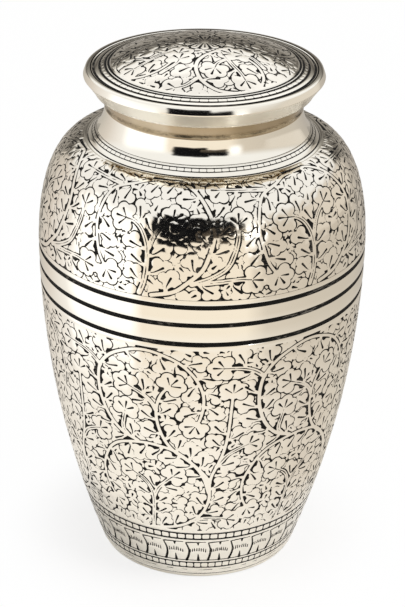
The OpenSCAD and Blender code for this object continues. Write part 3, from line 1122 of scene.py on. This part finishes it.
def dome_field(x, y):
    """The dome's drawing: leaves outside the rosette's circle, and inside it petals, each with a cut vein,
    round a small boss. Petals that reach past the circle lie over the leaves."""
    r = np.hypot(x, y)
    reach = np.full(x.shape, 99.0)
    veins = []
    for petal in petals:
        np.minimum(reach, leaf_reach(x, y, petal, plan_period), out=reach)
        a = math.radians(petal[2])
        veins.append((3.0 * math.cos(a), 3.0 * math.sin(a), 7.0 * math.cos(a), 7.0 * math.sin(a), 0.14, 0.4))
    rosette = np.minimum(np.maximum(-reach, boss_r - r), signed_reach(x, y, veins, plan_period))
    leaves = np.minimum(dome_leaves(x, y), reach - 0.45)
    return np.maximum(rosette, np.where(r > rosette_r, leaves, -1.0))


def on_dome(x, y, sink):
    """Places a plan drawing on the ball of the dome: straight up onto the ball, then in by sink towards its
    centre."""
    up = np.sqrt(dome_ball**2 - x**2 - y**2)
    scale = 1 - sink / dome_ball
    return np.stack([x * scale, y * scale, apex_z - dome_ball + up * scale], -1)


def relief_disc(name, sheet, radius, place, tail, tail_groups, materials, columns):
    """A closed piece from a round relief sheet and a plain tail, from the sheet's edge round to the axis."""
    flat = sheet["flat"]
    outer = place(flat[:, 0], flat[:, 1], sink_of(sheet["dist"]))
    rim = np.nonzero(np.hypot(*flat.T) > radius - 1e-3)[0]
    rim = rim[np.argsort(np.arctan2(flat[rim, 0], -flat[rim, 1]) % (2 * math.pi - 1e-6))]
    corner = flat[sheet["tris"]]
    chart_u = 0.5 + corner[..., 0] / radius * 0.49
    share = 0.5 + corner[..., 1] / radius * 0.5
    chart_v = np.where(sheet["groove"][:, None], in_band(groove_band, share), in_band(land_band, share))
    angles = np.arange(columns) * 2 * math.pi / columns
    back_corners, back_rows = turned_rows(tail, angles, len(outer))
    shares = np.arange(len(tail) + 1) / len(tail)
    back = row_faces([rim, *back_rows], shares, tail_groups, columns)
    corners = np.concatenate([outer, *back_corners])
    faces = sheet["tris"].tolist() + back[0]
    groups = np.concatenate([np.where(sheet["groove"], FILL, PLATE), *back[1]])
    charts = np.concatenate([np.stack([chart_u, chart_v], -1).reshape(-1, 2), *back[2]])
    return mesh_piece(name, corners, faces, groups, charts, materials)


def dome_height(r, ball):
    """Height of a ball of that radius about the dome's centre, at radius r."""
    return apex_z - dome_ball + math.sqrt(ball**2 - r**2)


dome_sheet = disc_sheet(dome_field, disc_r, 0.36, 4, body_turns)
under_r = np.linspace(collar_bore_r, 0, 9)
dome_tail = [(r, dome_height(r, dome_ball - lid_wall)) for r in under_r]
lid_dome = relief_disc(
    "lid_dome", dome_sheet, disc_r, on_dome, dome_tail, [BRASS + 4] + [BRASS] * 8, metals, body_turns
)
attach(lid_dome, "root")
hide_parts("lid")


# ---------------------------------------------------------------------------
# Lid rim: the sloping beaded border, the flat polished edge, the skirt that
# overhangs the neck and the collar that sits in its bore, turned and soldered
# to the dome.

edge_z = 242.2
border_r, border_rise = 50.5, 1.8
rim_r, rim_bottom_z = 54.7, 238.7
skirt_r, skirt_bottom_z = 49.9, 231.5
collar_r, collar_bottom_z, collar_edge = 42.85, 227.4, 0.3
rim_round = 0.8
sheet_start_r = 51.6
slope_r = np.linspace(border_r - 0.8, dome_r + 0.3, 8)
rim_side = Side(
    [(sheet_start_r, edge_z), (border_r + 0.3, edge_z), (border_r - 0.3, edge_z + 0.07)]
    + [(r, edge_z + border_rise * (border_r - r) / (border_r - dome_r)) for r in slope_r]
    + [(r, dome_height(r, dome_ball)) for r in (dome_r - 0.2, disc_r)]
)
rim_groups_round = 12
rim_beads = 6
rim_ref_r = 46.0
rim_width = 2 * math.pi * rim_ref_r / rim_groups_round
# The radius and half width of each turned line, from the outside in.
rim_lines = [(50.1, 0.54), (47.4, 0.5), (44.7, 0.5), (43.3, 0.5)]
rim_line_s = [np.interp(-r, -rim_side.p[:, 0], rim_side.s) for r, _ in rim_lines]
rim_crown = 0.22
outer_fade, inner_fade = 1.2, 0.8


def rim_field(x, s):
    """The border's drawing: four turned lines, and beads between the second and the third."""
    second, third = rim_line_s[1:3]
    half = rim_lines[1][1]
    d = bead_land(x, s, second + half, third - half, rim_width / rim_beads, 0.12)
    for at, (_, half) in zip(rim_line_s, rim_lines):
        np.minimum(d, np.abs(s - at) - half, out=d)
    return d


def on_rim(x, s, sink):
    """Places the lid border's drawing: angle = x / rim_ref_r, profile point at s. The metal between two lines
    is crowned: it is lower by rim_crown * u^2, where u runs from -1 to 1 from one line's middle to the next.
    Beyond the first and last line the drop of rim_crown fades out evenly."""
    lines = np.array(rim_line_s)
    k = np.clip(np.searchsorted(lines, s) - 1, 0, len(lines) - 2)
    u = np.clip((2 * s - lines[k] - lines[k + 1]) / (lines[k + 1] - lines[k]), -1, 1)
    before = np.clip(1 - (lines[0] - s) / outer_fade, 0, 1)
    beyond = np.clip(1 - (s - lines[-1]) / inner_fade, 0, 1)
    within = (s > lines[0]) & (s < lines[-1])
    drop = np.where(within, u**2, np.where(s < lines[0], before, beyond))
    return turn(rim_side.at(s, sink + rim_crown * drop), x / rim_ref_r)


rim_sheet = ring_sheet(rim_field, rim_width, 0.0, rim_side.s[-1], 0.28, body_turns // rim_groups_round)
# The collar and the inside of the skirt, from the dome's edge down, out and down again to the skirt's foot.
rim_back = [
    (collar_bore_r, dome_height(collar_bore_r, dome_ball - lid_wall)),
    (collar_bore_r, 235.0),
    (collar_bore_r, collar_bottom_z + collar_edge),
    (collar_bore_r + collar_edge, collar_bottom_z),
    (collar_r - collar_edge, collar_bottom_z),
    (collar_r, collar_bottom_z + collar_edge),
    (collar_r, 233.0),
    (collar_r, neck_top_z),
    (skirt_r - lid_wall, neck_top_z),
    (skirt_r - lid_wall, skirt_bottom_z),
]
rim_back_groups = [BRASS + 4] + [BRASS] * 2 + [BRASS + 8] * 3 + [BRASS + 12] * 2 + [BRASS + 16, BRASS + 20]
# The skirt flares out in a slope to the rim, whose outer face leans in a little to a rounded top edge.
skirt_foot = arc(skirt_r - rim_round, skirt_bottom_z + rim_round, rim_round, -math.pi / 2, 0, 6)
flare_curve = [(skirt_r, 232.3), (skirt_r + 0.35, 233.0), (rim_r - 0.9, 237.7), (rim_r - 0.1, rim_bottom_z)]
flare = [tuple(p) for p in bezier(flare_curve, np.linspace(0, 1, 12))]
rim_face = [(rim_r - 0.02, rim_bottom_z + 0.3), (rim_r - 0.15, 239.35), (rim_r - 0.92, 241.45)]
edge_curve = [rim_face[-1], (rim_r - 1.16, 242.0), (rim_r - 1.7, edge_z), (sheet_start_r, edge_z)]
rim_face += [tuple(p) for p in bezier(edge_curve, np.linspace(0, 1, 9))[1:-1]]
rim_tail = rim_back + skirt_foot + flare + rim_face
rim_groups = rim_back_groups + [PLATE] * (len(skirt_foot) + 1) + [DULL_OR_SHADED] * (len(flare) - 1)
rim_groups += [PLATE] * (len(rim_face) + 1)
# The slope under the rim has a satin finish, softer than the mirror of the edge and the border.
skirt_bright, skirt_warm = (0.98, 0.95, 0.87), (0.96, 0.925, 0.84)
skirt_nickel = plated_metal("skirt_nickel", skirt_bright, skirt_warm, 0.28, 0.32, 0.00002, 0.03)
rim_metals = [*ring_metals, skirt_nickel]
lid_rim = relief_ring("lid_rim", rim_sheet, on_rim, rim_tail, rim_groups, rim_metals, rim_groups_round)
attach(lid_rim, "root")
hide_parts("lid")


# ---------------------------------------------------------------------------
# Studio: a pale floor, two soft lamps, and what the polished urn mirrors, which
# is a white, cream and beige room, lit and grey walls, a lamp and flash, and a
# dark cloth and stand at the camera.

floor_half = 8.0
floor_mesh = bpy.data.meshes.new("studio_floor")
square = ((-1, -1), (1, -1), (1, 1), (-1, 1))
floor_mesh.from_pydata([(floor_half * i, floor_half * j, 0) for i, j in square], [], [(0, 1, 2, 3)])
floor = bpy.data.objects.new("studio_floor", floor_mesh)
bpy.context.scene.collection.objects.link(floor)
floor_paint, tree, shader = new_paint("floor_paint")
shader.inputs["Base Color"].default_value = (0.86, 0.85, 0.83, 1)
shader.inputs["Roughness"].default_value = 0.6
glow = node(tree, "ShaderNodeEmission", in_0=(1.0, 1.0, 1.0, 1), in_1=1.0)
path = node(tree, "ShaderNodeLightPath")
share = node(tree, "ShaderNodeMath", operation="MULTIPLY")
place = node(tree, "ShaderNodeTexCoord")
# The floor glows white to the camera, and less so close to the urn, so that the shadow shows there.
away = node(tree, "ShaderNodeVectorMath", operation="LENGTH")
spread = node(tree, "ShaderNodeMapRange", in_1=0.05, in_2=0.10, in_3=0.75, in_4=0.985)
spread.interpolation_type = "SMOOTHSTEP"
tree.links.new(place.outputs["Object"], away.inputs[0])
tree.links.new(away.outputs["Value"], spread.inputs[0])
tree.links.new(spread.outputs[0], share.inputs[1])
blend = node(tree, "ShaderNodeMixShader")
tree.links.new(path.outputs["Is Camera Ray"], share.inputs[0])
tree.links.new(share.outputs[0], blend.inputs[0])
tree.links.new(shader.outputs[0], blend.inputs[1])
tree.links.new(glow.outputs[0], blend.inputs[2])
tree.links.new(blend.outputs[0], tree.nodes["Material Output"].inputs["Surface"])
floor_mesh.materials.append(floor_paint)


def colour_ramp(tree, stops, value):
    """A colour that goes evenly through stops (share, colour) as the value from another node goes from 0
    to 1."""
    ramp = node(tree, "ShaderNodeValToRGB")
    while len(ramp.color_ramp.elements) < len(stops):
        ramp.color_ramp.elements.new(0.5)
    for element, (share, shade) in zip(ramp.color_ramp.elements, stops):
        element.position = share
        element.color = (*shade, 1)
    tree.links.new(value, ramp.inputs[0])
    return ramp.outputs[0]


def mirrored_part(name, corners, faces):
    """A part of the studio that is seen only in the urn's metal: its mesh and the node tree of its paint."""
    mesh = bpy.data.meshes.new(name)
    mesh.from_pydata(corners, [], faces)
    part = bpy.data.objects.new(name, mesh)
    bpy.context.scene.collection.objects.link(part)
    paint, tree, _ = new_paint(name + "_paint")
    mesh.materials.append(paint)
    part.visible_camera = False
    part.visible_diffuse = False
    part.visible_shadow = False
    return mesh, tree


def glow_where(tree, shown, colour, strength):
    """Paint that glows with a colour where shown is 1 and is clear where it is 0, both from other nodes."""
    link = tree.links.new
    light = node(tree, "ShaderNodeEmission", in_1=strength)
    clear = node(tree, "ShaderNodeBsdfTransparent")
    both = node(tree, "ShaderNodeMixShader")
    link(colour, light.inputs[0])
    link(shown, both.inputs[0])
    link(clear.outputs[0], both.inputs[1])
    link(light.outputs[0], both.inputs[2])
    link(both.outputs[0], tree.nodes["Material Output"].inputs["Surface"])


def card(name, middle, across, up, stops, soft, ragged, strength=1.0):
    """A studio card with its middle, half width and half height as vectors. Its colour goes through stops
    (share of the height, colour) from bottom to top, and it fades out over the share soft of its half size
    at its edges, which waves shift by ragged."""
    mesh, tree = mirrored_part(name, [middle + across * i + up * j for i, j in square], [(0, 1, 2, 3)])
    layer = mesh.uv_layers.new(name="card")
    layer.data.foreach_set("uv", [0, 0, 1, 0, 1, 1, 0, 1])
    link = tree.links.new
    place = node(tree, "ShaderNodeUVMap", uv_map="card")
    waves = node(tree, "ShaderNodeTexNoise", in_2=3.0, in_3=1.0)
    link(place.outputs[0], waves.inputs["Vector"])
    shift = node(tree, "ShaderNodeVectorMath", operation="MULTIPLY_ADD")
    shift.inputs[1].default_value = (ragged, ragged, 0)
    link(waves.outputs["Color"], shift.inputs[0])
    link(place.outputs[0], shift.inputs[2])
    parts = node(tree, "ShaderNodeSeparateXYZ")
    link(shift.outputs[0], parts.inputs[0])
    shown = node(tree, "ShaderNodeMath", operation="MULTIPLY")
    for axis in (0, 1):
        off = node(tree, "ShaderNodeMath", operation="SUBTRACT", in_1=0.5 + ragged / 2)
        size = node(tree, "ShaderNodeMath", operation="ABSOLUTE")
        mask = node(tree, "ShaderNodeMapRange", in_1=0.5 - soft / 2, in_2=0.5 - 0.01, in_3=1.0, in_4=0.0)
        mask.interpolation_type = "SMOOTHSTEP"
        link(parts.outputs[axis], off.inputs[0])
        link(off.outputs[0], size.inputs[0])
        link(size.outputs[0], mask.inputs[0])
        link(mask.outputs[0], shown.inputs[axis])
    glow_where(tree, shown.outputs[0], colour_ramp(tree, stops, parts.outputs[1]), strength)


urn_middle = Vector((0, 0, 0.13))


def facing(azimuth, elevation, distance, width, height):
    """Middle, half width and half height of a card that faces the middle of the urn from that azimuth and
    elevation in degrees, with azimuth 0 towards -Y."""
    a, e = math.radians(azimuth), math.radians(elevation)
    out = Vector((math.cos(e) * math.sin(a), -math.cos(e) * math.cos(a), math.sin(e)))
    across = Vector((math.cos(a), math.sin(a), 0))
    return urn_middle + out * distance, across * width / 2, out.cross(across) * height / 2


def room_group():
    """The room's light by direction round the urn, with azimuth 0 towards -Y: white on the left, cream in
    front, beige on the right and darker behind. A colour stands at the share azimuth / 360 + 0.5 of its ramp,
    and Color = (1 - Near) * the far tones + Near * the tones of the near floor."""
    tree, given, result = group_tree(
        "RoomTones", {"Near": ("NodeSocketFloat", 0.0)}, {"Color": "NodeSocketColor"}
    )
    link = tree.links.new
    place = node(tree, "ShaderNodeTexCoord")
    quarter = node(tree, "ShaderNodeMapping", vector_type="POINT")
    quarter.inputs["Rotation"].default_value = (0, 0, math.pi / 2)
    around = node(tree, "ShaderNodeTexGradient", gradient_type="RADIAL")
    both = node(tree, "ShaderNodeMix", data_type="RGBA")
    link(place.outputs["Object"], quarter.inputs[0])
    link(quarter.outputs[0], around.inputs[0])
    link(given.outputs["Near"], both.inputs[0])
    for tones, side in ((far_tones, both.inputs[6]), (near_tones, both.inputs[7])):
        stops = [(azimuth / 360 + 0.5, shade) for azimuth, shade in tones]
        link(colour_ramp(tree, stops, around.outputs["Fac"]), side)
    link(both.outputs[2], result.inputs["Color"])
    return tree


# Azimuth in degrees and colour, for the far room and for the floor near the urn.
far_tones = [
    (-180, (0.46, 0.43, 0.39)),
    (-150, (0.58, 0.54, 0.48)),
    (-125, (0.76, 0.70, 0.64)),
    (-100, (0.98, 0.95, 0.92)),
    (-88, (1.35, 1.35, 1.35)),
    (-46, (1.35, 1.35, 1.35)),
    (-37, (1.0, 0.91, 0.78)),
    (28, (1.0, 0.91, 0.78)),
    (42, (0.74, 0.67, 0.58)),
    (75, (0.68, 0.62, 0.54)),
    (120, (0.62, 0.57, 0.50)),
    (150, (0.50, 0.46, 0.41)),
    (180, (0.46, 0.43, 0.39)),
]
near_tones = [
    (-180, (0.78, 0.73, 0.66)),
    (-125, (0.86, 0.82, 0.76)),
    (-90, (0.97, 0.94, 0.90)),
    (-50, (1.06, 1.03, 0.98)),
    (10, (1.06, 1.02, 0.96)),
    (30, (0.98, 0.93, 0.87)),
    (50, (0.88, 0.83, 0.76)),
    (75, (0.78, 0.72, 0.65)),
    (120, (0.72, 0.67, 0.59)),
    (180, (0.78, 0.73, 0.66)),
]
room_tones = room_group()
near_end, far_start = 0.14, 0.34


def room_part(name, corners, faces, measure, clear_at, whole_at, near):
    """Part of the room. measure is the height Z or the distance LENGTH: the part is clear at clear_at and
    whole at whole_at. The near floor's tones have the share near up to near_end, and 0 from far_start on."""
    _, tree = mirrored_part(name, corners, faces)
    link = tree.links.new
    place = node(tree, "ShaderNodeTexCoord")
    if measure == "Z":
        taken = node(tree, "ShaderNodeSeparateXYZ")
        value = taken.outputs["Z"]
    else:
        taken = node(tree, "ShaderNodeVectorMath", operation="LENGTH")
        value = taken.outputs["Value"]
    link(place.outputs["Object"], taken.inputs[0])
    low, high = min(clear_at, whole_at), max(clear_at, whole_at)
    at_low, at_high = float(clear_at > low), float(whole_at > low)
    level = node(tree, "ShaderNodeMapRange", in_1=low, in_2=high, in_3=at_low, in_4=at_high)
    level.interpolation_type = "SMOOTHSTEP"
    link(value, level.inputs[0])
    tones = node(tree, "ShaderNodeGroup", node_tree=room_tones)
    share = node(tree, "ShaderNodeMapRange", in_1=near_end, in_2=far_start, in_3=near, in_4=0.0)
    link(value, share.inputs[0])
    link(share.outputs[0], tones.inputs["Near"])
    glow_where(tree, level.outputs[0], tones.outputs["Color"], 1.0)


room_r, room_h, room_sides = 1.6, 1.2, 48
room_angles = np.arange(room_sides) * 2 * math.pi / room_sides
room_rims = [turn(np.broadcast_to([room_r, z], (room_sides, 2)), room_angles) for z in (0.002, room_h)]
wall_faces = []
for k in range(room_sides):
    after = (k + 1) % room_sides
    wall_faces.append((k, after, after + room_sides, k + room_sides))
room_part("room_wall", np.concatenate(room_rims).tolist(), wall_faces, "Z", 1.1, 0.45, 0.0)
room_part("room_floor", room_rims[0].tolist(), [tuple(range(room_sides))], "LENGTH", 0.06, 0.10, 1.0)

black = (0.006, 0.006, 0.007)
brown = (0.10, 0.08, 0.06)
beige = (0.80, 0.74, 0.66)
white = (1.0, 1.0, 1.0)
greys = [
    (0.0, (0.44, 0.41, 0.37)),
    (0.5, (0.30, 0.28, 0.25)),
    (0.68, (0.10, 0.09, 0.08)),
    (0.79, (0.40, 0.38, 0.34)),
    (0.88, (0.92, 0.90, 0.86)),
    (1.0, (1.0, 0.98, 0.95)),
]
all_white = [(0.0, white), (1.0, white)]
cloth = [(0.0, brown), (0.25, black), (1.0, black)]
stand = [(0.0, brown), (0.3, brown), (0.6, black)]
card("back_wall", *facing(180, 14, 1.3, 2.8, 1.08), greys, 0.24, 0.0)
card("back_light", *facing(180, 50, 1.4, 2.2, 0.8), all_white, 0.8, 0.0, 1.15)
card("right_wall", *facing(102, 8, 1.35, 2.2, 0.8), [(0.0, beige), (1.0, beige)], 0.5, 0.0)
card("camera_cloth", *facing(-14, 19, 1.2, 0.92, 0.66), cloth, 0.25, 0.18)
card("camera_stand", *facing(10, 20, 1.19, 0.8, 0.46), stand, 0.35, 0.18)
card("right_lamp", *facing(35, 14, 1.3, 0.5, 1.0), all_white, 0.9, 0.0, 1.35)
card("flash", *facing(33, 12, 1.25, 0.1, 0.1), all_white, 0.7, 0.0, 14.0)


def soft_lamp(name, place, size, watts):
    """A square area lamp at place, turned to the urn, with all sizes in metres."""
    data = bpy.data.lights.new(name, "AREA")
    data.size = size
    data.energy = watts
    lamp = bpy.data.objects.new(name, data)
    bpy.context.scene.collection.objects.link(lamp)
    lamp.location = place
    lamp.rotation_euler = (Vector(place) - lamp_aim).to_track_quat("Z", "Y").to_euler()
    lamp.visible_glossy = False


lamp_aim = Vector((0, 0, 0.1))
soft_lamp("key", (0.9, -0.5, 1.6), 0.9, 21)
soft_lamp("fill", (-1.2, -0.6, 1.1), 1.0, 6)

world = bpy.data.worlds.new("studio_air")
bpy.context.scene.world = world
world.use_nodes = True
tree = world.node_tree
background = tree.nodes["Background"]
background.inputs["Color"].default_value = (1.0, 1.0, 1.0, 1)
path = node(tree, "ShaderNodeLightPath")
seen = node(tree, "ShaderNodeMath", operation="MAXIMUM")
level = node(tree, "ShaderNodeMapRange", in_3=0.55, in_4=1.0)
tree.links.new(path.outputs["Is Camera Ray"], seen.inputs[0])
tree.links.new(path.outputs["Is Glossy Ray"], seen.inputs[1])
tree.links.new(seen.outputs[0], level.inputs[0])
tree.links.new(level.outputs[0], background.inputs["Strength"])


# ---------------------------------------------------------------------------
# Camera: a long lens that looks down on the urn from the front.

aim = Vector((0.65, 0.0, 123.26)) / 1000
camera_elevation = math.radians(26.1)
camera_distance = 0.9916
camera_roll = math.radians(0.857)
camera_data = bpy.data.cameras.new("camera")
camera_data.sensor_width = 36
camera_data.lens = 123.8
camera_data.clip_end = 20
camera = bpy.data.objects.new("camera", camera_data)
bpy.context.scene.collection.objects.link(camera)
away = Vector((0, -math.cos(camera_elevation), math.sin(camera_elevation)))
right = Vector((1, 0, 0))
up = Vector((0, math.sin(camera_elevation), math.cos(camera_elevation)))
local_x = right * math.cos(camera_roll) + up * math.sin(camera_roll)
local_y = -right * math.sin(camera_roll) + up * math.cos(camera_roll)
camera_turn = Matrix((local_x, local_y, away)).transposed().to_4x4()
camera.matrix_world = Matrix.Translation(aim + away * camera_distance) @ camera_turn
bpy.context.scene.camera = camera
bpy.context.scene.view_settings.view_transform = "Standard"
